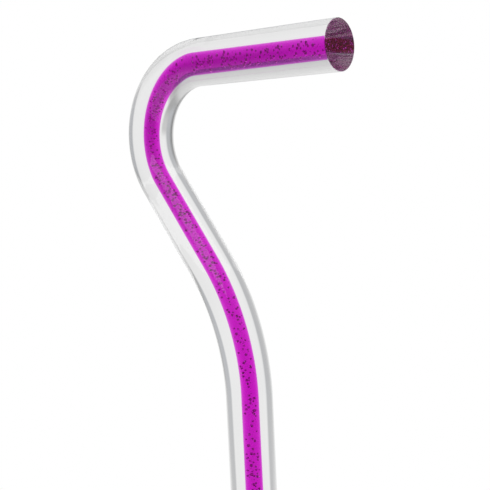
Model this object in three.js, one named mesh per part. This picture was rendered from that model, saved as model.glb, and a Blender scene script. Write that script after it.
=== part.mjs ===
// An offset-handle walking cane: one clear acrylic rod, bent to shape around a coloured core bar,
// with its foot in a rubber ferrule that has a steel washer at the bottom of its socket.
//
// Millimetres, +Z up along the shaft. The origin is the middle of the ferrule's tread, on the ground.
// Both bends lie in the XZ plane, and the handle's cut end faces +X.

import * as THREE from "three";

// Driving dimensions: the cane as a whole
const CANE_HEIGHT = 914.4; // ground to the top of the handle, 36 in
const ROD_DIAMETER = 25.4; // 1 in stock, the same all along

// The rod's centreline, from the handle's cut end to the shaft
const GRIP_LENGTH = 90; // straight, level and square to the shaft
const HANDLE_BEND_RADIUS = 40; // turns from the grip back under itself
const NECK_LEAN = THREE.MathUtils.degToRad(36); // the neck's angle from the shaft
const NECK_LENGTH = 55; // straight
const SHAFT_BEND_RADIUS = 125; // turns from the neck to the shaft

// The core bar: an oval that is widest in the plane of the bends
const CORE_HALF_WIDTH = 3.5; // in the plane of the bends
const CORE_HALF_THICKNESS = 2.7; // across the plane of the bends
const CORE_OFFSET = 0.4; // from the rod's axis toward the inside of the handle bend
const CLEARANCE = 0.3; // between pieces that touch in the real cane

// The ferrule and its washer
const FERRULE_HEIGHT = 52;
const FERRULE_WALL = 3.2; // at the collar
const FERRULE_FOOT_RADIUS = 23;
const FERRULE_FOOT_TOP_Z = 9; // the foot's rim, under the flare
const FERRULE_FLARE_TOP_Z = 21;
const FERRULE_ROUND = 2; // radius of the foot's edges
const FERRULE_FLOOR = 12; // rubber under the washer, tread included
const COLLAR_BEAD = 1.4; // how far the rolled rim stands out
const SOCKET_LEAD_IN = 0.8; // bevel at the socket's mouth
const GRIP_RING_COUNT = 3;
const GRIP_RING_PITCH = 6;
const GRIP_RING_HEIGHT = 0.9; // how far each ring stands out
const TREAD_DEPTH = 1.2;
const TREAD_CENTRE_RADIUS = 5; // the flat disc in the middle of the tread
const TREAD_RING_WIDTH = 2.6; // each ring, and each groove beside it
const TREAD_GROOVE_COUNT = 3;
const TREAD_GROOVE_SLOPE = 0.3; // how far each side of a groove leans
const WASHER_THICKNESS = 1.6;
const WASHER_HOLE_RADIUS = 4.5;

// How finely the round shapes are divided
const ROD_SIDES = 40;
const CORE_SIDES = 24;
const BEND_STEP = THREE.MathUtils.degToRad(6); // one station on a bend for each turn of this size
const LATHE_SEGMENTS = 40;
const ROUND_CORNER_POINTS = 4;

// Worked out from the driving dimensions
const ROD_RADIUS = ROD_DIAMETER / 2;
const HANDLE_AXIS_Z = CANE_HEIGHT - ROD_RADIUS;
const HANDLE_TURN = Math.PI / 2 + NECK_LEAN;
const WASHER_BOTTOM_Z = FERRULE_FLOOR + CLEARANCE;
const ROD_BOTTOM_Z = WASHER_BOTTOM_Z + WASHER_THICKNESS + CLEARANCE;
const SOCKET_RADIUS = ROD_RADIUS + CLEARANCE;
const COLLAR_RADIUS = SOCKET_RADIUS + FERRULE_WALL;

// Distance along X from the handle's cut end back to the shaft's axis
const HANDLE_REACH =
  GRIP_LENGTH +
  HANDLE_BEND_RADIUS * Math.cos(NECK_LEAN) -
  NECK_LENGTH * Math.sin(NECK_LEAN) -
  SHAFT_BEND_RADIUS * (1 - Math.cos(NECK_LEAN));

// Drop along Z from the handle's axis to the top of the straight shaft
const BENDS_DROP =
  HANDLE_BEND_RADIUS * (1 + Math.sin(NECK_LEAN)) +
  NECK_LENGTH * Math.cos(NECK_LEAN) +
  SHAFT_BEND_RADIUS * Math.sin(NECK_LEAN);

const SHAFT_LENGTH = HANDLE_AXIS_Z - BENDS_DROP - ROD_BOTTOM_Z;

// The centreline as straights and arcs. A positive turn is to the left as one travels along the rod.
const RUNS = [
  { length: GRIP_LENGTH, turn: 0 },
  { length: HANDLE_BEND_RADIUS * HANDLE_TURN, turn: HANDLE_TURN },
  { length: NECK_LENGTH, turn: 0 },
  { length: SHAFT_BEND_RADIUS * NECK_LEAN, turn: -NECK_LEAN },
  { length: SHAFT_LENGTH, turn: 0 },
];

// The rod's centreline, which the rod and its core are both swept along.
// Its parameter runs evenly through the stations, so a bend is finely divided and a straight is not.
class Centreline extends THREE.Curve {
  constructor() {
    super();
    this.stations = this.makeStations();
  }

  makeStations() {
    const stations = [];
    let x = HANDLE_REACH;
    let z = HANDLE_AXIS_Z;
    let heading = Math.PI;
    stations.push({ x, z, heading });
    for (const { length, turn } of RUNS) {
      const steps = Math.max(1, Math.round(Math.abs(turn) / BEND_STEP));
      for (let step = 0; step < steps; step += 1) {
        const stepTurn = turn / steps;
        const arc = length / steps;
        const chord = turn === 0 ? arc : (arc * Math.sin(stepTurn / 2)) / (stepTurn / 2);
        x += chord * Math.cos(heading + stepTurn / 2);
        z += chord * Math.sin(heading + stepTurn / 2);
        heading += stepTurn;
        stations.push({ x, z, heading });
      }
    }
    return stations;
  }

  get steps() {
    return this.stations.length - 1;
  }

  getUtoTmapping(u) {
    return u;
  }

  getPoint(t, target = new THREE.Vector3()) {
    const { before, after, share } = this.around(t);
    return target.set(
      THREE.MathUtils.lerp(before.x, after.x, share),
      0,
      THREE.MathUtils.lerp(before.z, after.z, share),
    );
  }

  getTangent(t, target = new THREE.Vector3()) {
    const { before, after, share } = this.around(t);
    const heading = THREE.MathUtils.lerp(before.heading, after.heading, share);
    return target.set(Math.cos(heading), 0, Math.sin(heading));
  }

  around(t) {
    const place = t * this.steps;
    const index = Math.min(Math.floor(place), this.steps - 1);
    return {
      before: this.stations[index],
      after: this.stations[index + 1],
      share: place - index,
    };
  }
}

const centreline = new Centreline();

// A section swept along the centreline. The section's x lies in the plane of the bends,
// and is positive toward the inside of the handle bend.
function sweep(section, sides) {
  return new THREE.ExtrudeGeometry(section, {
    steps: centreline.steps,
    extrudePath: centreline,
    curveSegments: sides / 2, // an ellipse is divided into twice as many
    bevelEnabled: false,
  });
}

function oval(OutlineClass, centreX, halfWidth, halfThickness) {
  const outline = new OutlineClass();
  outline.absellipse(centreX, 0, halfWidth, halfThickness, 0, 2 * Math.PI, false);
  return outline;
}

// The clear rod has an open bore from end to end that holds the core.
function clearRod() {
  const section = oval(THREE.Shape, 0, ROD_RADIUS, ROD_RADIUS);
  const boreHalfWidth = CORE_HALF_WIDTH + CLEARANCE;
  const boreHalfThickness = CORE_HALF_THICKNESS + CLEARANCE;
  section.holes.push(oval(THREE.Path, CORE_OFFSET, boreHalfWidth, boreHalfThickness));
  return sweep(section, ROD_SIDES);
}

function purpleCore() {
  return sweep(oval(THREE.Shape, CORE_OFFSET, CORE_HALF_WIDTH, CORE_HALF_THICKNESS), CORE_SIDES);
}

// Points of a quarter or half circle in a lathe profile, angles measured from the radius direction
function roundCorner(centreRadius, centreZ, radius, fromDegrees, toDegrees) {
  const points = [];
  for (let i = 0; i <= ROUND_CORNER_POINTS; i += 1) {
    const angle = THREE.MathUtils.degToRad(
      THREE.MathUtils.lerp(fromDegrees, toDegrees, i / ROUND_CORNER_POINTS),
    );
    points.push([centreRadius + radius * Math.cos(angle), centreZ + radius * Math.sin(angle)]);
  }
  return points;
}

// A profile of [radius, height] points turned about Z. LatheGeometry turns about Y, so it is stood up.
function lathe(profile) {
  const points = profile.map(([radius, z]) => new THREE.Vector2(radius, z));
  const geometry = new THREE.LatheGeometry(points, LATHE_SEGMENTS);
  geometry.rotateX(Math.PI / 2);
  return geometry;
}

// Grooves across the underside, from the flat middle disc outwards
function treadProfile() {
  const profile = [[0, 0]];
  for (let groove = 0; groove < TREAD_GROOVE_COUNT; groove += 1) {
    const inner = TREAD_CENTRE_RADIUS + 2 * groove * TREAD_RING_WIDTH;
    const outer = inner + TREAD_RING_WIDTH;
    profile.push([inner, 0], [inner + TREAD_GROOVE_SLOPE, TREAD_DEPTH]);
    profile.push([outer - TREAD_GROOVE_SLOPE, TREAD_DEPTH], [outer, 0]);
  }
  return profile;
}

// Up the outside: a rounded foot, a flare and the grip rings
function outsideProfile() {
  const footTopRadius = FERRULE_FOOT_RADIUS - 1;
  const profile = [
    ...roundCorner(FERRULE_FOOT_RADIUS - FERRULE_ROUND, FERRULE_ROUND, FERRULE_ROUND, -90, 0),
    ...roundCorner(footTopRadius - FERRULE_ROUND, FERRULE_FOOT_TOP_Z - FERRULE_ROUND, FERRULE_ROUND, 0, 80),
    [COLLAR_RADIUS + 1.2, FERRULE_FLARE_TOP_Z - 4],
    [COLLAR_RADIUS, FERRULE_FLARE_TOP_Z],
  ];
  const ringRadius = COLLAR_RADIUS + GRIP_RING_HEIGHT;
  for (let ring = 0; ring < GRIP_RING_COUNT; ring += 1) {
    const z = FERRULE_FLARE_TOP_Z + GRIP_RING_PITCH * (ring + 0.5);
    profile.push([COLLAR_RADIUS, z], [ringRadius, z + 1], [ringRadius, z + 2], [COLLAR_RADIUS, z + 3]);
  }
  return profile;
}

// Over the rolled rim, down into the socket and across its floor to the axis
function rimAndSocketProfile() {
  return [
    ...roundCorner(COLLAR_RADIUS, FERRULE_HEIGHT - COLLAR_BEAD, COLLAR_BEAD, -90, 90),
    [SOCKET_RADIUS + SOCKET_LEAD_IN, FERRULE_HEIGHT],
    [SOCKET_RADIUS, FERRULE_HEIGHT - SOCKET_LEAD_IN],
    [SOCKET_RADIUS, FERRULE_FLOOR],
    [0, FERRULE_FLOOR],
  ];
}

function rubberFerrule() {
  return lathe([...treadProfile(), ...outsideProfile(), ...rimAndSocketProfile()]);
}

function ferruleWasher() {
  const rim = SOCKET_RADIUS - 2 * CLEARANCE;
  const top = WASHER_BOTTOM_Z + WASHER_THICKNESS;
  return lathe([
    [WASHER_HOLE_RADIUS, WASHER_BOTTOM_Z],
    [rim, WASHER_BOTTOM_Z],
    [rim, top],
    [WASHER_HOLE_RADIUS, top],
    [WASHER_HOLE_RADIUS, WASHER_BOTTOM_Z],
  ]);
}

function piece(name, geometry, color, roughness, metalness) {
  const material = new THREE.MeshStandardMaterial({ color, roughness, metalness });
  const mesh = new THREE.Mesh(geometry, material);
  mesh.name = name;
  return mesh;
}

const cane = new THREE.Group();
cane.add(
  piece("clear_rod", clearRod(), 0xeef1f4, 0.03, 0),
  piece("purple_core", purpleCore(), 0xc81ec4, 0.1, 0),
  piece("rubber_ferrule", rubberFerrule(), 0x26262a, 0.8, 0),
  piece("ferrule_washer", ferruleWasher(), 0xb8bcc2, 0.35, 1),
);

export default cane;
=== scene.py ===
import math

import bmesh
import bpy
from mathutils import Matrix, Vector


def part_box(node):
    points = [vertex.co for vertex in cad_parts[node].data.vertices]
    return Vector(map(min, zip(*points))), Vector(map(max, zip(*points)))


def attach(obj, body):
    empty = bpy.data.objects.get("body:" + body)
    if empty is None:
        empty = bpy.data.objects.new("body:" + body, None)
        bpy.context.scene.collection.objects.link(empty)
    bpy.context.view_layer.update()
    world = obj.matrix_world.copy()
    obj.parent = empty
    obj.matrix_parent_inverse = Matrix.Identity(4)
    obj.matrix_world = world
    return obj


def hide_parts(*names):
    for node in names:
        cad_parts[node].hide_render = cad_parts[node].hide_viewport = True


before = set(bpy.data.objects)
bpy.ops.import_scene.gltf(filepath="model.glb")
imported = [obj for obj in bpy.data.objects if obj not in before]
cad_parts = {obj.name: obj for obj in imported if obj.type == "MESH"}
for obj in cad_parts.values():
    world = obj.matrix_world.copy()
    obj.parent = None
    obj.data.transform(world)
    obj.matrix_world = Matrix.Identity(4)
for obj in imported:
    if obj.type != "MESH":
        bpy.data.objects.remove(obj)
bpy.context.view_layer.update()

# ---------------------------------------------------------------- sizes, in metres

MM = 0.001

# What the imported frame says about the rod
rod_low, rod_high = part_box("clear_rod")
ROD_RADIUS = (rod_high.y - rod_low.y) / 2
HANDLE_END_X = rod_high.x
GRIP_AXIS_Z = rod_high.z - ROD_RADIUS
SHAFT_FOOT_Z = rod_low.z

# The rod's centreline, from the handle's cut end down to the shaft
GRIP_LENGTH = 90 * MM
HANDLE_BEND_RADIUS = 40 * MM
NECK_LEAN = math.radians(36)
NECK_LENGTH = 55 * MM
SHAFT_BEND_RADIUS = 125 * MM
HANDLE_TURN = math.pi / 2 + NECK_LEAN
BENDS_DROP = (
    HANDLE_BEND_RADIUS * (1 + math.sin(NECK_LEAN))
    + NECK_LENGTH * math.cos(NECK_LEAN)
    + SHAFT_BEND_RADIUS * math.sin(NECK_LEAN)
)
SHAFT_LENGTH = GRIP_AXIS_Z - BENDS_DROP - SHAFT_FOOT_Z

# Each run of the centreline: its length, and how far it turns to the left
RUNS = [
    (GRIP_LENGTH, 0.0),
    (HANDLE_BEND_RADIUS * HANDLE_TURN, HANDLE_TURN),
    (NECK_LENGTH, 0.0),
    (SHAFT_BEND_RADIUS * NECK_LEAN, -NECK_LEAN),
    (SHAFT_LENGTH, 0.0),
]
ROD_LENGTH = sum(length for length, turn in RUNS)
BEND_STEP = math.radians(1.5)  # a station on a bend for each turn of this size
STRAIGHT_STEP = 8 * MM
END_CLEARANCE = 0.026 * MM  # no station of a run lies closer than this to either end
STATION_SPACING = 0.1 * MM  # nor closer than this to the one before

ROD_SIDES = 160
ROD_EDGE_ROUND = 0.25 * MM  # the polished edge round each cut end
EDGE_STATIONS = 5

# The dyed core: an oval that is widest in the plane of the bends
CORE_HALF_WIDTH = 3.5 * MM
CORE_HALF_THICKNESS = 2.7 * MM
CORE_OFFSET = 0.4 * MM  # from the rod's axis toward the inside of the handle bend
CORE_SIDES = 72
CORE_SKIN = 0.15 * MM  # clear acrylic over the core's two ends
BOND_GAP = 0.04 * MM  # between the core and the wall of the rod's bore
BUBBLE_END_CLEARANCE = 3 * MM  # no bubbles this near the core's ends
BUBBLE_WALL_CLEARANCE = 1.35  # from a bubble's middle to the core's wall, in its radii
BUBBLE_SPACING = 1.4  # between two bubbles' middles, in the largest radii

# The ferrule and its washer, turned about the shaft's axis
ferrule_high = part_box("rubber_ferrule")[1]
FERRULE_HEIGHT = ferrule_high.z
FERRULE_FOOT_RADIUS = ferrule_high.x
FERRULE_FOOT_TOP_Z = 9 * MM
FERRULE_FLARE_TOP_Z = 21 * MM
FERRULE_FLOOR_Z = 12 * MM
FERRULE_WALL = 3.2 * MM
SOCKET_RADIUS = ROD_RADIUS + 0.1 * MM  # the rubber grips the rod
SOCKET_LEAD_IN = 0.8 * MM
COLLAR_RADIUS = ROD_RADIUS + 0.3 * MM + FERRULE_WALL
COLLAR_BEAD = 1.4 * MM
GRIP_RING_COUNT = 3
GRIP_RING_PITCH = 6 * MM
GRIP_RING_HEIGHT = 0.9 * MM
TREAD_DEPTH = 1.2 * MM
TREAD_CENTRE_RADIUS = 5 * MM
TREAD_RING_WIDTH = 2.6 * MM
TREAD_GROOVE_COUNT = 3
TREAD_GROOVE_SLOPE = 0.3 * MM
FERRULE_SEGMENTS = 144
washer_low, washer_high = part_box("ferrule_washer")
WASHER_HOLE_RADIUS = 4.5 * MM
WASHER_EDGE_ROUND = 0.3 * MM
WASHER_SEGMENTS = 96
FILLET_STEPS = 5

# ---------------------------------------------------------------- optics

ACRYLIC_IOR = 1.49
BONDED_IOR = 1.0  # nothing bends where the core meets the clear acrylic
DYE_COLOR = (0.930, 0.12, 0.917)  # what the dye lets through
DYE_DENSITY = 1000.0  # per metre
MOST_TURNS_INSIDE = 10  # light that has gone on longer than this leaves the clear acrylic
BUBBLE_SHEEN = (0.55, 0.16, 0.5, 1.0)  # the colour of what a bubble's wall reflects
# Painted shade: the bubble walls' dark tint stands in for the shade of the bubbles' dark rings
BUBBLE_PAINTED_SHADE_COLOR = (0.52, 0.11, 0.43)
BUBBLE_DEEPER_PAINTED_SHADE_COLOR = (0.36, 0.04, 0.28)
# Painted light: the cut end's mauve and maroon tones stand in for light carried along the rod and out
# through the cut
CUT_PAINTED_TONE = (0.17, 0.035, 0.095)
CUT_SAW_LINE_PAINTED_TONE = (0.21, 0.115, 0.185)
# Painted light: a dark band that stands in for the core's image seen through the cut end
CUT_PAINTED_CORE_IMAGE_COLOR = (0.17, 0.010, 0.032)
# Painted glints: pink spots that stand in for bubbles glinting through the cut end
CUT_PAINTED_GLINT_COLOR = (0.75, 0.07, 0.62)
CUT_PAINTED_GLINTS_PER_M = 620.0
CUT_PAINTED_LINE_COLOR = (0.34, 0.24, 0.32)  # a thin painted reflection: a pale line that stands in for the image of the core's edge
CUT_PAINTED_LINE_PLACE = 1.14  # in half widths of the core, from its middle
CUT_PAINTED_LINE_HALF_WIDTH = 0.07
CUT_PAINTED_BAND_REACH = 22 * MM  # how far the painted image of the core spreads across the cut
CUT_CLARITY = 0.60  # how much of the cut end is clear, and not saw marks in painted tones
CUT_ROUGHNESS = 0.18

# ---------------------------------------------------------------- small tools


def add_node(tree, kind, inputs=None, **settings):
    """A node with its settings made and its inputs set or linked.

    An input is named by its socket or its place.
    """
    made = tree.nodes.new(kind)
    for name, value in settings.items():
        setattr(made, name, value)
    for name, value in (inputs or {}).items():
        socket = made.inputs[name]
        if isinstance(value, bpy.types.NodeSocket):
            tree.links.new(value, socket)
        else:
            socket.default_value = value
    return made


def object_from_mesh(name, mesh):
    piece = bpy.data.objects.new(name, mesh)
    bpy.context.scene.collection.objects.link(piece)
    return piece


def new_geometry_tree(name, sockets):
    """An empty Geometry Nodes tree with a Geometry input and output and the named inputs."""
    tree = bpy.data.node_groups.new(name, "GeometryNodeTree")
    tree.interface.new_socket(name="Geometry", in_out="INPUT", socket_type="NodeSocketGeometry")
    for socket_name, kind in sockets.items():
        tree.interface.new_socket(name=socket_name, in_out="INPUT", socket_type="NodeSocket" + kind)
    tree.interface.new_socket(name="Geometry", in_out="OUTPUT", socket_type="NodeSocketGeometry")
    return tree


def baked(carrier, tree, values, name):
    """The mesh that a tree makes of a carrier object. The carrier and its modifier are then removed."""
    modifier = carrier.modifiers.new(name, "NODES")
    modifier.node_group = tree
    for item in tree.interface.items_tree:
        if item.in_out == "INPUT" and item.name in values:
            modifier[item.identifier] = values[item.name]
    bpy.context.view_layer.update()
    evaluated = carrier.evaluated_get(bpy.context.evaluated_depsgraph_get())
    mesh = bpy.data.meshes.new_from_object(evaluated)
    mesh.name = name
    carrier.modifiers.remove(modifier)
    bpy.data.objects.remove(carrier)
    return mesh


def joined(name, meshes):
    """One mesh of several, each with its own materials."""
    pieces = [object_from_mesh(f"{name}.{i}", mesh) for i, mesh in enumerate(meshes)]
    with bpy.context.temp_override(active_object=pieces[0], selected_editable_objects=pieces):
        bpy.ops.object.join()
    piece = pieces[0]
    piece.name = name
    piece.data.name = name
    for index in reversed(range(len(piece.data.materials))):
        if piece.data.materials[index] is None:
            piece.data.materials.pop(index=index)
    return piece


# ---------------------------------------------------------------- the centreline


def place_at(distance):
    """The point of the centreline at a distance from the handle's cut end."""
    x, z, heading = HANDLE_END_X, GRIP_AXIS_Z, math.pi
    for length, turn in RUNS:
        arc = min(distance, length)
        part_turn = turn * arc / length
        chord = arc if part_turn == 0 else arc * math.sin(part_turn / 2) / (part_turn / 2)
        x += chord * math.cos(heading + part_turn / 2)
        z += chord * math.sin(heading + part_turn / 2)
        heading += part_turn
        distance -= arc
        if distance <= 0:
            break
    return Vector((x, 0, z))


def station_distances(begin, finish):
    """Where the centreline has stations, as distances: close on the bends, wide on the straights."""
    distances = [begin]
    run_start = 0.0
    for length, turn in RUNS:
        pitch = length * BEND_STEP / abs(turn) if turn else STRAIGHT_STEP
        steps = math.ceil(length / pitch - 1e-6)
        distances += [run_start + length * step / steps for step in range(steps + 1)]
        run_start += length
    inside = sorted(d for d in distances if begin + END_CLEARANCE < d < finish - END_CLEARANCE)
    spaced = [begin]
    for distance in inside + [finish]:
        if distance - spaced[-1] > STATION_SPACING or distance == finish:
            spaced.append(distance)
    return spaced


def rail(name, stations):
    """A curve through (distance, width share) stations of the centreline."""
    curve = bpy.data.curves.new(name, "CURVE")
    curve.dimensions = "3D"
    spline = curve.splines.new("POLY")
    spline.points.add(len(stations) - 1)
    for point, (distance, share) in zip(spline.points, stations):
        point.co = (*place_at(distance), 1)
        point.radius = share
    piece = bpy.data.objects.new(name, curve)
    bpy.context.scene.collection.objects.link(piece)
    return piece


def rod_stations():
    """The whole rod, narrowed over its rounded edges."""
    edge = []
    for step in range(EDGE_STATIONS):
        angle = math.pi / 2 * step / (EDGE_STATIONS - 1)
        inset = ROD_EDGE_ROUND * (1 - math.cos(angle))
        share = 1 - ROD_EDGE_ROUND * (1 - math.sin(angle)) / ROD_RADIUS
        edge.append((inset, share))
    support = 2 * ROD_EDGE_ROUND
    middle = [(d, 1.0) for d in station_distances(support, ROD_LENGTH - support)]
    return edge + middle + [(ROD_LENGTH - inset, share) for inset, share in reversed(edge)]


# ---------------------------------------------------------------- geometry trees


def sweep_tree():
    """An oval section swept along a curve, capped, and flat only on its caps.

    The attribute "unbent" is where each point would be if the rod were straight: across, across, along.
    """
    tree = new_geometry_tree(
        "swept oval",
        {
            "Half Width": "Float",
            "Half Thickness": "Float",
            "Offset": "Float",
            "Sides": "Int",
            "Inward": "Bool",
            "Material": "Material",
            "Cap Material": "Material",
        },
    )
    given = add_node(tree, "NodeGroupInput").outputs
    normal = add_node(
        tree, "GeometryNodeSetCurveNormal", {"Curve": given["Geometry"], "Normal": (0, 1, 0)}, mode="FREE"
    )
    along = add_node(tree, "GeometryNodeSplineParameter")
    capture_along = add_node(tree, "GeometryNodeCaptureAttribute", {"Geometry": normal.outputs["Curve"]})
    capture_along.capture_items.new("FLOAT", "Along")
    tree.links.new(along.outputs["Length"], capture_along.inputs["Along"])

    circle = add_node(
        tree, "GeometryNodeCurvePrimitiveCircle", {"Resolution": given["Sides"], "Radius": 1.0}
    )
    scale = add_node(
        tree, "ShaderNodeCombineXYZ", {"X": given["Half Thickness"], "Y": given["Half Width"], "Z": 1.0}
    )
    shift = add_node(tree, "ShaderNodeCombineXYZ", {"Y": given["Offset"]})
    section = add_node(
        tree,
        "GeometryNodeTransform",
        {"Geometry": circle.outputs["Curve"], "Translation": shift.outputs[0], "Scale": scale.outputs[0]},
    )
    position = add_node(tree, "GeometryNodeInputPosition")
    capture_across = add_node(tree, "GeometryNodeCaptureAttribute", {"Geometry": section.outputs[0]})
    capture_across.capture_items.new("VECTOR", "Across")
    tree.links.new(position.outputs[0], capture_across.inputs["Across"])

    radius = add_node(tree, "GeometryNodeInputRadius")
    swept = add_node(
        tree,
        "GeometryNodeCurveToMesh",
        {
            "Curve": capture_along.outputs["Geometry"],
            "Profile Curve": capture_across.outputs["Geometry"],
            "Scale": radius.outputs[0],
            "Fill Caps": True,
        },
    )
    across = add_node(tree, "ShaderNodeSeparateXYZ", {0: capture_across.outputs["Across"]})
    unbent = add_node(
        tree,
        "ShaderNodeCombineXYZ",
        {"X": across.outputs["X"], "Y": across.outputs["Y"], "Z": capture_along.outputs["Along"]},
    )
    named = add_node(
        tree,
        "GeometryNodeStoreNamedAttribute",
        {"Geometry": swept.outputs[0], "Name": "unbent", "Value": unbent.outputs[0]},
        data_type="FLOAT_VECTOR",
        domain="POINT",
    )
    flipped = add_node(
        tree, "GeometryNodeFlipFaces", {"Mesh": named.outputs[0], "Selection": given["Inward"]}
    )
    corners = add_node(tree, "GeometryNodeInputMeshFaceNeighbors")
    is_side = add_node(
        tree,
        "FunctionNodeCompare",
        {"A": corners.outputs["Vertex Count"], "B": 4},
        data_type="INT",
        operation="LESS_EQUAL",
    )
    smooth = add_node(
        tree,
        "GeometryNodeSetShadeSmooth",
        {"Geometry": flipped.outputs[0], "Shade Smooth": is_side.outputs[0]},
    )
    real = add_node(tree, "GeometryNodeRealizeInstances", {"Geometry": smooth.outputs[0]})
    is_cap = add_node(tree, "FunctionNodeBooleanMath", {0: is_side.outputs[0]}, operation="NOT")
    sides_dressed = add_node(
        tree, "GeometryNodeSetMaterial", {"Geometry": real.outputs[0], "Material": given["Material"]}
    )
    dressed = add_node(
        tree,
        "GeometryNodeSetMaterial",
        {
            "Geometry": sides_dressed.outputs[0],
            "Selection": is_cap.outputs[0],
            "Material": given["Cap Material"],
        },
    )
    add_node(tree, "NodeGroupOutput", {"Geometry": dressed.outputs[0]})
    return tree


def bubble_tree():
    """Round air bubbles strewn along a curve, inside an oval round it, some of them gathered in clusters.

    Their faces point into each bubble, because they are hollows in the acrylic.
    """
    tree = new_geometry_tree(
        "air bubbles",
        {
            "Count": "Int",
            "Clusters": "Int",
            "Cluster Length": "Float",
            "Clustered Share": "Float",
            "Smallest Radius": "Float",
            "Largest Radius": "Float",
            "Half Width": "Float",
            "Half Thickness": "Float",
            "Offset": "Float",
            "Roundness": "Int",
            "Seed": "Int",
            "Material": "Material",
        },
    )
    given = add_node(tree, "NodeGroupInput").outputs

    def math_node(operation, a, b=0.0, c=0.0):
        return add_node(tree, "ShaderNodeMath", {0: a, 1: b, 2: c}, operation=operation).outputs[0]

    def random_number(salt, low=0.0, high=1.0, index=None):
        seed = math_node("ADD", given["Seed"], float(salt))
        inputs = {"Min": low, "Max": high, "Seed": seed}
        if index is not None:
            inputs["ID"] = index
        made = add_node(tree, "FunctionNodeRandomValue", data_type="FLOAT")
        sockets = {s.name: s for s in made.inputs if s.enabled or s.name in ("ID", "Seed")}
        for name, value in inputs.items():
            if isinstance(value, bpy.types.NodeSocket):
                tree.links.new(value, sockets[name])
            else:
                sockets[name].default_value = value
        return [s for s in made.outputs if s.enabled][0]

    # How far along the curve: anywhere, or near the middle of a cluster
    length = add_node(tree, "GeometryNodeCurveLength", {"Curve": given["Geometry"]}).outputs[0]
    anywhere = random_number(1)
    cluster = math_node("FLOOR", math_node("MULTIPLY", random_number(2), given["Clusters"]))
    cluster_middle = math_node("MULTIPLY", random_number(3, index=cluster), length)
    shift = math_node("MULTIPLY", random_number(4, -0.5, 0.5), given["Cluster Length"])
    in_cluster = math_node("ADD", cluster_middle, shift)
    is_clustered = math_node("LESS_THAN", random_number(5), given["Clustered Share"])
    along = add_node(
        tree,
        "ShaderNodeMix",
        {0: is_clustered, 2: math_node("MULTIPLY", anywhere, length), 3: in_cluster},
        data_type="FLOAT",
    ).outputs[0]

    # How big: many small, few large
    size_share = math_node("POWER", random_number(6), 2.0)
    radius = add_node(
        tree,
        "ShaderNodeMix",
        {0: size_share, 2: given["Smallest Radius"], 3: given["Largest Radius"]},
        data_type="FLOAT",
    ).outputs[0]

    # Where in the section: evenly over the oval, and clear of its edge
    turn = random_number(7, 0.0, 2 * math.pi)
    reach = math_node("SQRT", random_number(8))
    wall = math_node("MULTIPLY", radius, BUBBLE_WALL_CLEARANCE)
    wide = math_node("MULTIPLY", reach, math_node("SUBTRACT", given["Half Width"], wall))
    thick = math_node("MULTIPLY", reach, math_node("SUBTRACT", given["Half Thickness"], wall))
    wide_shift = math_node("MULTIPLY_ADD", wide, math_node("COSINE", turn), given["Offset"])
    thick_shift = math_node("MULTIPLY", thick, math_node("SINE", turn))

    sample = add_node(
        tree, "GeometryNodeSampleCurve", {"Curves": given["Geometry"], "Length": along}, mode="LENGTH"
    )
    across = add_node(
        tree,
        "ShaderNodeVectorMath",
        {0: sample.outputs["Tangent"], 1: (0, 1, 0)},
        operation="CROSS_PRODUCT",
    )
    wide_vector = add_node(
        tree, "ShaderNodeVectorMath", {0: across.outputs[0], "Scale": wide_shift}, operation="SCALE"
    )
    thick_vector = add_node(tree, "ShaderNodeCombineXYZ", {"Y": thick_shift})
    offset = add_node(
        tree,
        "ShaderNodeVectorMath",
        {0: wide_vector.outputs[0], 1: thick_vector.outputs[0]},
        operation="ADD",
    )
    place = add_node(
        tree,
        "ShaderNodeVectorMath",
        {0: sample.outputs["Position"], 1: offset.outputs[0]},
        operation="ADD",
    )
    points = add_node(
        tree,
        "GeometryNodePoints",
        {"Count": given["Count"], "Position": place.outputs[0], "Radius": radius},
    )
    spacing = math_node("MULTIPLY", given["Largest Radius"], BUBBLE_SPACING)
    apart = add_node(
        tree,
        "GeometryNodeMergeByDistance",
        {"Geometry": points.outputs[0], "Distance": spacing},
    )
    ball = add_node(
        tree, "GeometryNodeMeshIcoSphere", {"Radius": 1.0, "Subdivisions": given["Roundness"]}
    )
    point_radius = add_node(tree, "GeometryNodeInputRadius")
    balls = add_node(
        tree,
        "GeometryNodeInstanceOnPoints",
        {"Points": apart.outputs[0], "Instance": ball.outputs["Mesh"], "Scale": point_radius.outputs[0]},
    )
    real = add_node(tree, "GeometryNodeRealizeInstances", {"Geometry": balls.outputs[0]})
    hollow = add_node(tree, "GeometryNodeFlipFaces", {"Mesh": real.outputs[0]})
    smooth = add_node(
        tree, "GeometryNodeSetShadeSmooth", {"Geometry": hollow.outputs[0], "Shade Smooth": True}
    )
    dressed = add_node(
        tree, "GeometryNodeSetMaterial", {"Geometry": smooth.outputs[0], "Material": given["Material"]}
    )
    add_node(tree, "NodeGroupOutput", {"Geometry": dressed.outputs[0]})
    return tree


# ---------------------------------------------------------------- materials


def new_material(name):
    material = bpy.data.materials.new(name)
    material.use_nodes = True
    material.node_tree.nodes.clear()
    return material


def finish_material(material, surface, volume=None):
    output = add_node(material.node_tree, "ShaderNodeOutputMaterial", {"Surface": surface})
    if volume is not None:
        material.node_tree.links.new(volume, output.inputs["Volume"])
    return material


def new_shader_group(name, inputs, outputs):
    """An empty shader node group. Inputs are name: (kind, first value). Outputs are names of numbers."""
    group = bpy.data.node_groups.new(name, "ShaderNodeTree")
    for socket_name, (kind, value) in inputs.items():
        made = group.interface.new_socket(
            name=socket_name, in_out="INPUT", socket_type="NodeSocket" + kind
        )
        made.default_value = value
    for socket_name in outputs:
        group.interface.new_socket(name=socket_name, in_out="OUTPUT", socket_type="NodeSocketFloat")
    return group


def place_group(tree, group, inputs):
    made = add_node(tree, "ShaderNodeGroup", node_tree=group)
    for name, value in inputs.items():
        if isinstance(value, bpy.types.NodeSocket):
            tree.links.new(value, made.inputs[name])
        else:
            made.inputs[name].default_value = value
    return made.outputs


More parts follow.
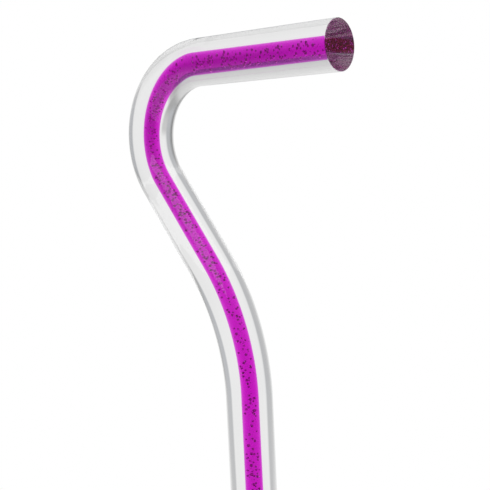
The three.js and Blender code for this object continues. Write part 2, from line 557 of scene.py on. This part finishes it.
def streaks_group():
    """Fine lines drawn out along one direction. Stretch is how often they vary, per metre, each way."""
    group = new_shader_group(
        "drawn streaks",
        {
            "Position": ("Vector", (0.0, 0.0, 0.0)),
            "Stretch": ("Vector", (800.0, 800.0, 5.0)),
            "Detail": ("Float", 3.0),
            "Sharpness": ("Float", 0.5),
        },
        ["Height"],
    )
    given = add_node(group, "NodeGroupInput").outputs
    stretched = add_node(
        group, "ShaderNodeVectorMath", {0: given["Position"], 1: given["Stretch"]}, operation="MULTIPLY"
    )
    lines = add_node(
        group,
        "ShaderNodeTexNoise",
        {"Vector": stretched.outputs[0], "Scale": 1.0, "Detail": given["Detail"], "Roughness": 0.6},
    )
    reach = add_node(group, "ShaderNodeMath", {0: 0.5, 1: given["Sharpness"]}, operation="MULTIPLY")
    high = add_node(group, "ShaderNodeMath", {0: 1.0, 1: reach.outputs[0]}, operation="SUBTRACT")
    height = add_node(
        group,
        "ShaderNodeMapRange",
        {"Value": lines.outputs["Fac"], "From Min": reach.outputs[0], "From Max": high.outputs[0]},
        interpolation_type="SMOOTHSTEP",
    )
    add_node(group, "NodeGroupOutput", {"Height": height.outputs[0]})
    return group


def handling_group():
    """Marks of handling: a cloudy haze of touches, hairline scratches, and dust."""
    group = new_shader_group(
        "handling marks",
        {
            "Position": ("Vector", (0.0, 0.0, 0.0)),
            "Touch Scale": ("Float", 30.0),
            "Scratch Scale": ("Float", 90.0),
            "Dust Scale": ("Float", 900.0),
        },
        ["Haze", "Scratches", "Dust"],
    )
    given = add_node(group, "NodeGroupInput").outputs
    touches = add_node(
        group,
        "ShaderNodeTexNoise",
        {"Vector": given["Position"], "Scale": given["Touch Scale"], "Detail": 4.0, "Roughness": 0.6},
    )
    haze = add_node(
        group,
        "ShaderNodeMapRange",
        {"Value": touches.outputs["Fac"], "From Min": 0.45, "From Max": 0.75},
        interpolation_type="SMOOTHSTEP",
    )
    scratch_cells = add_node(
        group,
        "ShaderNodeTexVoronoi",
        {"Vector": given["Position"], "Scale": given["Scratch Scale"], "Randomness": 1.0},
        feature="DISTANCE_TO_EDGE",
    )
    scratches = add_node(
        group,
        "ShaderNodeMapRange",
        {"Value": scratch_cells.outputs["Distance"], "From Min": 0.012, "From Max": 0.0},
    )
    specks = add_node(
        group,
        "ShaderNodeTexNoise",
        {"Vector": given["Position"], "Scale": given["Dust Scale"], "Detail": 2.0},
    )
    dust = add_node(
        group,
        "ShaderNodeMapRange",
        {"Value": specks.outputs["Fac"], "From Min": 0.54, "From Max": 0.64},
    )
    add_node(
        group,
        "NodeGroupOutput",
        {"Haze": haze.outputs[0], "Scratches": scratches.outputs[0], "Dust": dust.outputs[0]},
    )
    return group


STREAKS = streaks_group()
HANDLING = handling_group()


def unbent_position(tree):
    return add_node(tree, "ShaderNodeAttribute", attribute_name="unbent").outputs["Vector"]


def object_position(tree):
    return add_node(tree, "ShaderNodeTexCoord").outputs["Object"]


def between(tree, share, low, high):
    """A number from low to high, as share goes from 0 to 1."""
    return add_node(tree, "ShaderNodeMapRange", {"Value": share, "To Min": low, "To Max": high}).outputs[0]


def blended(tree, share, first, second):
    """A colour from first to second, as share goes from 0 to 1."""
    made = add_node(tree, "ShaderNodeMix", {"Factor": share}, data_type="RGBA")
    for socket, value in ((made.inputs[6], first), (made.inputs[7], second)):
        if isinstance(value, bpy.types.NodeSocket):
            tree.links.new(value, socket)
        else:
            socket.default_value = (*value, 1.0)
    return made.outputs[2]


def bumped(tree, height, strength, distance, under=None):
    inputs = {"Height": height, "Strength": strength, "Distance": distance}
    if under is not None:
        inputs["Normal"] = under
    return add_node(tree, "ShaderNodeBump", inputs).outputs[0]


def clear_acrylic():
    """Flame-polished clear acrylic, with the die's faint lines along it and a little handling haze.

    Light that keeps going round inside a bend is let out, or it would leave a dark sliver there.
    """
    material = new_material("clear acrylic")
    tree = material.node_tree
    position = unbent_position(tree)
    lines = place_group(
        tree,
        STREAKS,
        {"Position": position, "Stretch": (420.0, 420.0, 4.0), "Detail": 3.0, "Sharpness": 0.3},
    )
    marks = place_group(
        tree,
        HANDLING,
        {"Position": position, "Touch Scale": 28.0, "Scratch Scale": 60.0, "Dust Scale": 700.0},
    )
    depth = add_node(tree, "ShaderNodeLightPath").outputs["Ray Depth"]
    still_inside = add_node(
        tree, "ShaderNodeMath", {0: depth, 1: MOST_TURNS_INSIDE + 0.5}, operation="LESS_THAN"
    )
    shader = add_node(
        tree,
        "ShaderNodeBsdfPrincipled",
        {
            "Base Color": blended(tree, marks["Haze"], (1.0, 1.0, 1.0), (0.985, 0.988, 0.992)),
            "Roughness": between(tree, marks["Haze"], 0.0, 0.025),
            "IOR": ACRYLIC_IOR,
            "Transmission Weight": 1.0,
            "Alpha": still_inside.outputs[0],
            "Normal": bumped(tree, lines["Height"], 0.06, 0.02 * MM),
        },
    )
    return finish_material(material, shader.outputs[0])


def polished_cut():
    """The cut end: sawn square and polished, but not quite clear of the saw's lines.

    A dark band crosses it, a painted image of the core seen through the cut, with painted pink glints in it
    and a painted light line at its side. Its mauve and maroon tones are painted light carried along the
    rod; the saw's lines in them are real.
    """
    material = new_material("polished cut, painted light")
    tree = material.node_tree
    position = unbent_position(tree)
    saw_lines = place_group(
        tree,
        STREAKS,
        {"Position": position, "Stretch": (16.0, 520.0, 0.0), "Detail": 2.0, "Sharpness": 0.35},
    )
    part = add_node(tree, "ShaderNodeSeparateXYZ", {0: position}).outputs
    # Painted light: a dark band across the cut stands in for the core's image seen through it
    from_core = add_node(tree, "ShaderNodeMath", {0: part["Y"], 1: CORE_OFFSET}, operation="SUBTRACT")
    wide = add_node(
        tree, "ShaderNodeMath", {0: from_core.outputs[0], 1: CORE_HALF_WIDTH}, operation="DIVIDE"
    )
    thick = add_node(tree, "ShaderNodeMath", {0: part["X"], 1: CUT_PAINTED_BAND_REACH}, operation="DIVIDE")
    oval_place = add_node(tree, "ShaderNodeCombineXYZ", {0: wide.outputs[0], 1: thick.outputs[0]})
    reach = add_node(tree, "ShaderNodeVectorMath", {0: oval_place.outputs[0]}, operation="LENGTH")
    off_painted_core_image = add_node(
        tree, "ShaderNodeMapRange", {"Value": reach.outputs["Value"], "From Min": 0.85, "From Max": 1.1}
    )
    # Painted light: real saw lines, drawn in tones that stand in for light carried along the rod
    saw_lines_in_painted_tone = blended(tree, saw_lines["Height"], CUT_PAINTED_TONE, CUT_SAW_LINE_PAINTED_TONE)
    # Painted reflection: a pale line beside the band, standing in for the image of the core's edge
    painted_edge_line = add_node(
        tree,
        "ShaderNodeMath",
        {0: wide.outputs[0], 1: CUT_PAINTED_LINE_PLACE, 2: CUT_PAINTED_LINE_HALF_WIDTH},
        operation="COMPARE",
    )
    sawn_tone_with_painted_edge_line = blended(tree, painted_edge_line.outputs[0], saw_lines_in_painted_tone, CUT_PAINTED_LINE_COLOR)
    # Painted glints: pink spots in the band, standing in for bubbles glinting through the cut
    cells = add_node(tree, "ShaderNodeTexVoronoi", {"Vector": position, "Scale": CUT_PAINTED_GLINTS_PER_M})
    painted_glints = add_node(
        tree, "ShaderNodeMapRange", {"Value": cells.outputs["Distance"], "From Min": 0.34, "From Max": 0.22}
    )
    painted_core_image_color = blended(tree, painted_glints.outputs[0], CUT_PAINTED_CORE_IMAGE_COLOR, CUT_PAINTED_GLINT_COLOR)
    shader = add_node(
        tree,
        "ShaderNodeBsdfPrincipled",
        {
            "Base Color": blended(tree, off_painted_core_image.outputs[0], painted_core_image_color, sawn_tone_with_painted_edge_line),
            "Roughness": between(tree, saw_lines["Height"], CUT_ROUGHNESS, 1.6 * CUT_ROUGHNESS),
            "IOR": ACRYLIC_IOR,
            "Transmission Weight": CUT_CLARITY,
            "Normal": bumped(tree, saw_lines["Height"], 0.06, 0.04 * MM),
        },
    )
    return finish_material(material, shader.outputs[0])


def bonded_joint():
    """The wall of the rod's bore. It is bonded to the core, so nothing shows there."""
    material = new_material("bonded joint")
    shader = add_node(
        material.node_tree,
        "ShaderNodeBsdfPrincipled",
        {"Base Color": (1.0, 1.0, 1.0, 1.0), "Alpha": 0.0},
    )
    return finish_material(material, shader.outputs[0])


def purple_dye():
    """Dyed acrylic: the dye lies in the bar's depth, a little unevenly drawn out along it."""
    material = new_material("purple dyed acrylic")
    tree = material.node_tree
    position = unbent_position(tree)
    drawn = place_group(
        tree,
        STREAKS,
        {"Position": position, "Stretch": (500.0, 500.0, 14.0), "Detail": 4.0, "Sharpness": 0.4},
    )
    shader = add_node(
        tree,
        "ShaderNodeBsdfPrincipled",
        {
            "Base Color": blended(tree, drawn["Height"], (0.93, 0.86, 0.93), (1.0, 1.0, 1.0)),
            "Roughness": 0.0,
            "IOR": BONDED_IOR,
            "Transmission Weight": 1.0,
        },
    )
    dye = add_node(
        tree, "ShaderNodeVolumeAbsorption", {"Color": (*DYE_COLOR, 1.0), "Density": DYE_DENSITY}
    )
    return finish_material(material, shader.outputs[0], dye.outputs[0])


def bubble_wall():
    """The walls of the air bubbles, tinted dark as painted shade for the bubbles' dark rings, and not quite
    smooth.
    """
    material = new_material("bubble wall, painted shade")
    tree = material.node_tree
    marks = place_group(
        tree,
        HANDLING,
        {
            "Position": object_position(tree),
            "Touch Scale": 400.0,
            "Scratch Scale": 90.0,
            "Dust Scale": 900.0,
        },
    )
    # Painted shade: the wall's dark tint, varied at random, stands in for the shade of the bubbles' dark
    # rings
    shader = add_node(
        tree,
        "ShaderNodeBsdfPrincipled",
        {
            "Base Color": blended(tree, marks["Haze"], BUBBLE_PAINTED_SHADE_COLOR, BUBBLE_DEEPER_PAINTED_SHADE_COLOR),
            "Roughness": between(tree, marks["Haze"], 0.0, 0.05),
            "IOR": ACRYLIC_IOR,
            "Transmission Weight": 1.0,
            "Specular Tint": BUBBLE_SHEEN,
        },
    )
    return finish_material(material, shader.outputs[0])


def moulded_rubber():
    """Matt black rubber with the mould's fine grain, floor dust low down and paler, worn tread."""
    material = new_material("moulded black rubber")
    tree = material.node_tree
    position = object_position(tree)
    marks = place_group(
        tree,
        HANDLING,
        {"Position": position, "Touch Scale": 60.0, "Scratch Scale": 130.0, "Dust Scale": 1500.0},
    )
    grain = add_node(tree, "ShaderNodeTexNoise", {"Vector": position, "Scale": 2600.0, "Detail": 2.0})
    height = add_node(tree, "ShaderNodeSeparateXYZ", {0: position}).outputs["Z"]
    near_floor = add_node(
        tree,
        "ShaderNodeMapRange",
        {"Value": height, "From Min": FERRULE_FLOOR_Z, "From Max": 0.0},
        interpolation_type="SMOOTHSTEP",
    )
    dusty = add_node(
        tree, "ShaderNodeMath", {0: near_floor.outputs[0], 1: marks["Dust"]}, operation="MULTIPLY"
    )
    worn = add_node(
        tree,
        "ShaderNodeMapRange",
        {"Value": height, "From Min": 0.6 * MM, "From Max": 0.0, "To Max": 0.7},
    )
    handled = blended(tree, marks["Haze"], (0.012, 0.012, 0.013), (0.022, 0.022, 0.023))
    dusted = blended(tree, dusty.outputs[0], handled, (0.075, 0.072, 0.068))
    shader = add_node(
        tree,
        "ShaderNodeBsdfPrincipled",
        {
            "Base Color": blended(tree, worn.outputs[0], dusted, (0.055, 0.053, 0.05)),
            "Roughness": between(tree, marks["Haze"], 0.62, 0.78),
            "IOR": 1.52,
            "Normal": bumped(tree, grain.outputs["Fac"], 0.35, 0.06 * MM),
        },
    )
    return finish_material(material, shader.outputs[0])


def zinc_plated_steel():
    """Zinc plate with the spangle of the bath, the press's circular drag lines and a few scuffs."""
    material = new_material("zinc plated steel")
    tree = material.node_tree
    position = object_position(tree)
    part = add_node(tree, "ShaderNodeSeparateXYZ", {0: position}).outputs
    across = add_node(tree, "ShaderNodeCombineXYZ", {0: part["X"], 1: part["Y"]})
    radius = add_node(tree, "ShaderNodeVectorMath", {0: across.outputs[0]}, operation="LENGTH")
    turning = add_node(tree, "ShaderNodeCombineXYZ", {0: radius.outputs["Value"], 2: part["Z"]})
    drag = place_group(
        tree,
        STREAKS,
        {"Position": turning.outputs[0], "Stretch": (2400.0, 0.0, 900.0), "Detail": 2.0, "Sharpness": 0.4},
    )
    marks = place_group(
        tree,
        HANDLING,
        {"Position": position, "Touch Scale": 220.0, "Scratch Scale": 260.0, "Dust Scale": 2200.0},
    )
    spangle = add_node(
        tree, "ShaderNodeTexVoronoi", {"Vector": position, "Scale": 700.0, "Randomness": 1.0}
    ).outputs["Distance"]
    plate = blended(tree, spangle, (0.58, 0.59, 0.62), (0.70, 0.70, 0.68))
    scuffed = blended(tree, marks["Haze"], plate, (0.46, 0.45, 0.43))
    shader = add_node(
        tree,
        "ShaderNodeBsdfPrincipled",
        {
            "Base Color": scuffed,
            "Metallic": 1.0,
            "Roughness": between(tree, marks["Haze"], 0.28, 0.5),
            "Normal": bumped(
                tree,
                drag["Height"],
                0.2,
                0.03 * MM,
                under=bumped(tree, marks["Scratches"], 0.3, 0.02 * MM),
            ),
        },
    )
    return finish_material(material, shader.outputs[0])


# ---------------------------------------------------------------- pieces


def make_rod(sweep):
    joint = bonded_joint()
    shell = baked(
        rail("rod rail", rod_stations()),
        sweep,
        {
            "Half Width": ROD_RADIUS,
            "Half Thickness": ROD_RADIUS,
            "Sides": ROD_SIDES,
            "Material": clear_acrylic(),
            "Cap Material": polished_cut(),
        },
        "rod shell",
    )
    bore = baked(
        rail("bore rail", core_stations(CORE_SKIN - BOND_GAP)),
        sweep,
        {
            "Half Width": CORE_HALF_WIDTH + BOND_GAP,
            "Half Thickness": CORE_HALF_THICKNESS + BOND_GAP,
            "Offset": CORE_OFFSET,
            "Sides": CORE_SIDES,
            "Inward": True,
            "Material": joint,
            "Cap Material": joint,
        },
        "rod bore",
    )
    rod = joined("rod_of_clear_acrylic", [shell, bore])
    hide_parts("clear_rod")
    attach(rod, "cane")


def core_stations(skin):
    return [(distance, 1.0) for distance in station_distances(skin, ROD_LENGTH - skin)]


def make_core(sweep):
    oval = {
        "Half Width": CORE_HALF_WIDTH,
        "Half Thickness": CORE_HALF_THICKNESS,
        "Offset": CORE_OFFSET,
    }
    dyed = purple_dye()
    bar = baked(
        rail("core rail", core_stations(CORE_SKIN)),
        sweep,
        {**oval, "Sides": CORE_SIDES, "Material": dyed, "Cap Material": dyed},
        "core bar",
    )
    bubbles = bubble_tree()
    wall = bubble_wall()
    large = baked(
        rail("bubble rail", core_stations(BUBBLE_END_CLEARANCE)),
        bubbles,
        {
            **oval,
            "Count": 1450,
            "Clusters": 150,
            "Cluster Length": 11 * MM,
            "Clustered Share": 0.5,
            "Smallest Radius": 0.45 * MM,
            "Largest Radius": 0.85 * MM,
            "Roundness": 2,
            "Seed": 29,
            "Material": wall,
        },
        "large bubbles",
    )
    fine = baked(
        rail("fine bubble rail", core_stations(BUBBLE_END_CLEARANCE)),
        bubbles,
        {
            **oval,
            "Count": 1100,
            "Clusters": 110,
            "Cluster Length": 18 * MM,
            "Clustered Share": 0.6,
            "Smallest Radius": 0.12 * MM,
            "Largest Radius": 0.34 * MM,
            "Roundness": 1,
            "Seed": 503,
            "Material": wall,
        },
        "fine bubbles",
    )
    core = joined("core_of_dyed_acrylic", [bar, large, fine])
    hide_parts("purple_core")
    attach(core, "cane")


# ---------------------------------------------------------------- turned pieces


def filleted(corners, steps=FILLET_STEPS):
    """Points of a profile whose corners, (radius, height, fillet), are rounded by arcs of that radius."""
    points = []
    for index, (radius, height, fillet) in enumerate(corners):
        corner = Vector((radius, height))
        if fillet == 0 or index in (0, len(corners) - 1):
            points.append(corner)
            continue
        back = Vector(corners[index - 1][:2]) - corner
        on = Vector(corners[index + 1][:2]) - corner
        half_angle = back.angle(on) / 2
        reach = min(fillet / math.tan(half_angle), 0.49 * back.length, 0.49 * on.length)
        begin = corner + back.normalized() * reach
        finish = corner + on.normalized() * reach
        for step in range(steps + 1):
            share = step / steps
            points.append((1 - share) ** 2 * begin + 2 * share * (1 - share) * corner + share**2 * finish)
    return points


def turned(name, profile, segments, material, is_ring):
    """A profile of (radius, height) points turned about Z. A ring's profile closes on itself."""
    mesh = bpy.data.meshes.new(name)
    shape = bmesh.new()
    rings = []
    for radius, height in profile:
        if radius < 1e-7:
            rings.append([shape.verts.new((0, 0, height))])
            continue
        angles = [2 * math.pi * step / segments for step in range(segments)]
        around = [(radius * math.cos(angle), radius * math.sin(angle), height) for angle in angles]
        rings.append([shape.verts.new(point) for point in around])
    pairs = list(zip(rings, rings[1:]))
    if is_ring:
        pairs.append((rings[-1], rings[0]))
    for lower, upper in pairs:
        for step in range(segments):
            after = (step + 1) % segments
            corners = [lower[step % len(lower)], lower[after % len(lower)]]
            corners += [upper[after % len(upper)], upper[step % len(upper)]]
            face = shape.faces.new(list(dict.fromkeys(corners)))
            face.smooth = True
    bmesh.ops.recalc_face_normals(shape, faces=shape.faces)
    shape.to_mesh(mesh)
    shape.free()
    mesh.materials.append(material)
    return object_from_mesh(name, mesh)


def tread_corners():
    corners = [(0, 0, 0)]
    for groove in range(TREAD_GROOVE_COUNT):
        inner = TREAD_CENTRE_RADIUS + 2 * groove * TREAD_RING_WIDTH
        outer = inner + TREAD_RING_WIDTH
        corners += [(inner, 0, 0.3 * MM), (inner + TREAD_GROOVE_SLOPE, TREAD_DEPTH, 0.2 * MM)]
        corners += [(outer - TREAD_GROOVE_SLOPE, TREAD_DEPTH, 0.2 * MM), (outer, 0, 0.3 * MM)]
    return corners


def outside_corners():
    foot_top_radius = FERRULE_FOOT_RADIUS - 1 * MM
    corners = [
        (FERRULE_FOOT_RADIUS, 0, 2 * MM),
        (FERRULE_FOOT_RADIUS, 4 * MM, 3 * MM),
        (foot_top_radius, FERRULE_FOOT_TOP_Z, 2 * MM),
        (COLLAR_RADIUS + 1.2 * MM, FERRULE_FLARE_TOP_Z - 4 * MM, 6 * MM),
        (COLLAR_RADIUS, FERRULE_FLARE_TOP_Z, 2 * MM),
    ]
    ring_radius = COLLAR_RADIUS + GRIP_RING_HEIGHT
    for ring in range(GRIP_RING_COUNT):
        z = FERRULE_FLARE_TOP_Z + GRIP_RING_PITCH * (ring + 0.5)
        corners += [(COLLAR_RADIUS, z, 0.5 * MM), (ring_radius, z + 1 * MM, 0.5 * MM)]
        corners += [(ring_radius, z + 2 * MM, 0.5 * MM), (COLLAR_RADIUS, z + 3 * MM, 0.5 * MM)]
    return corners


def rim_and_socket_corners():
    bead_radius = COLLAR_RADIUS + COLLAR_BEAD
    bead_low = FERRULE_HEIGHT - 2 * COLLAR_BEAD
    return [
        (COLLAR_RADIUS, bead_low, 0.4 * MM),
        (bead_radius, bead_low, COLLAR_BEAD),
        (bead_radius, FERRULE_HEIGHT, COLLAR_BEAD),
        (SOCKET_RADIUS + SOCKET_LEAD_IN, FERRULE_HEIGHT, 0.3 * MM),
        (SOCKET_RADIUS, FERRULE_HEIGHT - SOCKET_LEAD_IN, 0.4 * MM),
        (SOCKET_RADIUS, FERRULE_FLOOR_Z, 0.6 * MM),
        (0, FERRULE_FLOOR_Z, 0),
    ]


def make_ferrule():
    profile = filleted(tread_corners() + outside_corners() + rim_and_socket_corners())
    ferrule = turned("ferrule_of_rubber", profile, FERRULE_SEGMENTS, moulded_rubber(), is_ring=False)
    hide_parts("rubber_ferrule")
    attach(ferrule, "ferrule")


def make_washer():
    hole, rim = WASHER_HOLE_RADIUS, washer_high.x
    bottom, top = washer_low.z, washer_high.z
    middle = (bottom + top) / 2
    corners = [
        (hole, middle, 0),
        (hole, bottom, WASHER_EDGE_ROUND),
        (rim, bottom, WASHER_EDGE_ROUND),
        (rim, top, WASHER_EDGE_ROUND),
        (hole, top, WASHER_EDGE_ROUND),
        (hole, middle + 0.01 * MM, 0),
    ]
    profile = filleted(corners)
    steel = zinc_plated_steel()
    washer = turned("washer_of_zinc_plated_steel", profile, WASHER_SEGMENTS, steel, is_ring=True)
    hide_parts("ferrule_washer")
    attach(washer, "ferrule")


# ---------------------------------------------------------------- studio

CAMERA_FROM_HANDLE_END = Vector((239.9 * MM, -362.4 * MM, -42.8 * MM))  # from the middle of the cut face
CAMERA_TURN = math.radians(40.0)  # to the left of straight along +Y
CAMERA_DROP = math.radians(6.62)
CAMERA_ROLL = math.radians(-2.72)
CAMERA_LENS = 66.05

# The studio room, in columns from far left to far right. Each has the azimuths at which it begins and
# is full, in degrees to the right of the camera's line, and its levels by elevation, white being 1.
SWEEP_FOOT = [(-45, 0.76), (-28, 0.83), (-12, 0.86)]  # the paper sweep, where it meets the floor
CEILING = [(50, 0.72), (60, 0.85), (90, 0.95)]
DIM_SIDE = [
    (-38, 0.75),
    (-24, 0.75),
    (-15, 0.42),
    (-8, 0.20),
    (0, 0.12),
    (30, 0.12),
    (50, 0.30),
    (60, 0.50),
]
BEHIND_CAMERA = [(-60, 0.50), (-30, 0.30), (-10, 0.13), (10, 0.28), (40, 0.45), (60, 0.60)]
WALL = [
    (-38, 0.75),
    (-31, 0.72),
    (-26, 0.50),
    (-12, (0.48, 0.49, 0.51)),
    (14, (0.43, 0.44, 0.46)),
    (20, 0.33),
    (27, 0.62),
    (60, 0.70),
]
# What is seen through the object to its sides and behind the camera. It is paler than what the object
# reflects from there, so that the clear acrylic stays clear from every side.
SEEN_THROUGH_FROM = (58, 80)  # the azimuths at which it begins and is full, to either side
SEEN_THROUGH = [(-40, 0.76), (-12, 0.80), (20, 0.80), (30, 0.60), (45, 0.70), (90, 0.95)]
STUDIO_COLUMNS = [
    ((-100, -80), DIM_SIDE),
    ((-58, -46), WALL),
    # The sweep's left edge, cut low
    (
        (-38, -33),
        [*SWEEP_FOOT, (1, 0.86), (4, 0.58), (9, 0.53), (16, 0.34), (21, 0.36), (26, 0.59), *CEILING],
    ),
    # A strip of it that stands higher
    ((-25.5, -22), [*SWEEP_FOOT, (14, 0.85), (17, 0.50), (21, 0.42), (25, 0.55), (35, 0.61), *CEILING]),
    # A grey wall over its low middle, with a dark gap under the ceiling
    (
        (-13, -9),
        [
            *SWEEP_FOOT,
            (-7, 0.82),
            (0, 0.70),
            (4, 0.58),
            (15.5, 0.57),
            (17, (0.25, 0.26, 0.29)),
            (21.5, (0.27, 0.28, 0.31)),
            (23, (0.49, 0.51, 0.54)),
            (27, 0.55),
            (35, 0.61),
            *CEILING,
        ],
    ),
    # The sweep's high right side
    (
        (1, 8),
        [*SWEEP_FOOT, (8, 0.83), (20, 0.80), (25, 0.74), (28, 0.55), (31, 0.36), (42, 0.30), *CEILING],
    ),
    ((35, 40), WALL),
    ((54, 66), DIM_SIDE),
    ((95, 115), BEHIND_CAMERA),
]
FLOOR_RADIUS = 1.5
FLOOR_GAP = 0.1 * MM  # between the floor and the tread


def make_camera():
    data = bpy.data.cameras.new("camera")
    data.lens = CAMERA_LENS
    camera = bpy.data.objects.new("camera", data)
    bpy.context.scene.collection.objects.link(camera)
    handle_end = Vector((HANDLE_END_X, 0, GRIP_AXIS_Z))
    forward = Vector(
        (
            -math.sin(CAMERA_TURN) * math.cos(CAMERA_DROP),
            math.cos(CAMERA_TURN) * math.cos(CAMERA_DROP),
            -math.sin(CAMERA_DROP),
        )
    )
    level_right = Vector((math.cos(CAMERA_TURN), math.sin(CAMERA_TURN), 0))
    level_up = level_right.cross(forward)
    right = math.cos(CAMERA_ROLL) * level_right + math.sin(CAMERA_ROLL) * level_up
    up = right.cross(forward)
    turned = Matrix((right, up, -forward)).transposed()
    camera.matrix_world = Matrix.Translation(handle_end + CAMERA_FROM_HANDLE_END) @ turned.to_4x4()
    bpy.context.scene.camera = camera


def ramp(tree, angle, stops):
    """A light level that depends on an angle. Stops are (degrees, level or colour)."""
    share = add_node(
        tree,
        "ShaderNodeMapRange",
        {"Value": angle, "From Min": -math.pi, "From Max": math.pi},
    )
    made = add_node(tree, "ShaderNodeValToRGB", {0: share.outputs[0]})
    elements = made.color_ramp.elements
    while len(elements) > 1:
        elements.remove(elements[-1])
    for index, (degrees, level) in enumerate(stops):
        place = (degrees + 180) / 360
        element = elements[0] if index == 0 else elements.new(place)
        element.position = place
        tint = level if isinstance(level, tuple) else (level, level, level)
        element.color = (*tint, 1.0)
    return made.outputs[0]


def make_world():
    """A pale studio room, which only shows in the object.

    Behind the object, as the camera stands, is a bright paper sweep with an uneven top edge, with walls
    and the ceiling over it. The walls beside it are greyer, and the side the camera stands on is dim.
    """
    world = bpy.data.worlds.new("pale studio")
    bpy.context.scene.world = world
    world.use_nodes = True
    tree = world.node_tree
    tree.nodes.clear()
    direction = add_node(tree, "ShaderNodeTexCoord").outputs["Generated"]
    height = add_node(tree, "ShaderNodeSeparateXYZ", {0: direction}).outputs["Z"]
    elevation = add_node(tree, "ShaderNodeMath", {0: height}, operation="ARCSINE").outputs[0]
    ahead = (-math.sin(CAMERA_TURN), math.cos(CAMERA_TURN), 0.0)
    right = (math.cos(CAMERA_TURN), math.sin(CAMERA_TURN), 0.0)
    toward_ahead = add_node(tree, "ShaderNodeVectorMath", {0: direction, 1: ahead}, operation="DOT_PRODUCT")
    toward_right = add_node(tree, "ShaderNodeVectorMath", {0: direction, 1: right}, operation="DOT_PRODUCT")
    azimuth = add_node(
        tree,
        "ShaderNodeMath",
        {0: toward_right.outputs["Value"], 1: toward_ahead.outputs["Value"]},
        operation="ARCTAN2",
    ).outputs[0]

    level = ramp(tree, elevation, BEHIND_CAMERA)
    for (begins, full), levels in STUDIO_COLUMNS:
        level = add_node(
            tree,
            "ShaderNodeMix",
            {
                "Factor": ramp(tree, azimuth, [(begins, 0.0), (full, 1.0)]),
                6: level,
                7: ramp(tree, elevation, levels),
            },
            data_type="RGBA",
        ).outputs["Result"]
    light_path = add_node(tree, "ShaderNodeLightPath").outputs
    behind = add_node(tree, "ShaderNodeMath", {0: azimuth}, operation="ABSOLUTE").outputs[0]
    begins, full = SEEN_THROUGH_FROM
    seen_through = add_node(
        tree,
        "ShaderNodeMath",
        {0: light_path["Is Transmission Ray"], 1: ramp(tree, behind, [(begins, 0.0), (full, 1.0)])},
        operation="MULTIPLY",
    )
    level = add_node(
        tree,
        "ShaderNodeMix",
        {"Factor": seen_through.outputs[0], 6: level, 7: ramp(tree, elevation, SEEN_THROUGH)},
        data_type="RGBA",
    ).outputs["Result"]
    seen_directly = light_path["Is Camera Ray"]
    shown = add_node(
        tree,
        "ShaderNodeMix",
        {"Factor": seen_directly, 6: level, 7: (1.0, 1.0, 1.0, 1.0)},
        data_type="RGBA",
    )
    light = add_node(tree, "ShaderNodeBackground", {"Color": shown.outputs["Result"]})
    add_node(tree, "ShaderNodeOutputWorld", {"Surface": light.outputs[0]})


def make_softbox(name, direction, distance, width, level, shows_in_object):
    """A square light that looks at the handle from a direction.

    Its level is its brightness beside white, 1. It can be kept from showing in and through the object.
    """
    data = bpy.data.lights.new(name, "AREA")
    data.shape = "SQUARE"
    data.size = width
    data.energy = level * math.pi * width**2
    light = bpy.data.objects.new(name, data)
    bpy.context.scene.collection.objects.link(light)
    light.location = Vector((0, 0, GRIP_AXIS_Z)) + direction.normalized() * distance
    light.rotation_mode = "QUATERNION"
    light.rotation_quaternion = direction.to_track_quat("Z", "Y")
    light.visible_camera = False
    light.visible_glossy = shows_in_object
    light.visible_transmission = shows_in_object


def make_floor():
    mesh = bpy.data.meshes.new("floor")
    shape = bmesh.new()
    bmesh.ops.create_circle(shape, cap_ends=True, segments=128, radius=FLOOR_RADIUS)
    shape.to_mesh(mesh)
    shape.free()
    mesh.transform(Matrix.Translation((0, 0, -FLOOR_GAP)))
    floor = object_from_mesh("floor", mesh)
    material = new_material("pale floor")
    tree = material.node_tree
    grain = add_node(tree, "ShaderNodeTexNoise", {"Scale": 6.0, "Detail": 4.0})
    tone = add_node(
        tree,
        "ShaderNodeMix",
        {"Factor": grain.outputs["Fac"], 6: (0.86, 0.86, 0.86, 1.0), 7: (0.9, 0.9, 0.9, 1.0)},
        data_type="RGBA",
    )
    shader = add_node(
        tree, "ShaderNodeBsdfPrincipled", {"Base Color": tone.outputs["Result"], "Roughness": 0.7}
    )
    finish_material(material, shader.outputs[0])
    mesh.materials.append(material)


def set_light_paths():
    """Light passes through many clear surfaces here, so the paths are long."""
    cycles = bpy.context.scene.cycles
    cycles.max_bounces = 64
    cycles.transmission_bounces = 64
    cycles.glossy_bounces = 16
    cycles.transparent_max_bounces = 64
    bpy.context.scene.view_settings.view_transform = "Standard"


# ---------------------------------------------------------------- build

make_camera()
set_light_paths()
make_world()
make_softbox(
    "overhead softbox",
    Vector((0, 0, 1)),
    distance=1.5,
    width=2.4,
    level=1.9,
    shows_in_object=False,
)
make_softbox(
    "front softbox",
    Vector((0.31, -0.76, 0.57)),
    distance=1.2,
    width=0.7,
    level=1.25,
    shows_in_object=True,
)
make_floor()
section_sweep = sweep_tree()
make_rod(section_sweep)
make_core(section_sweep)
make_ferrule()
make_washer()
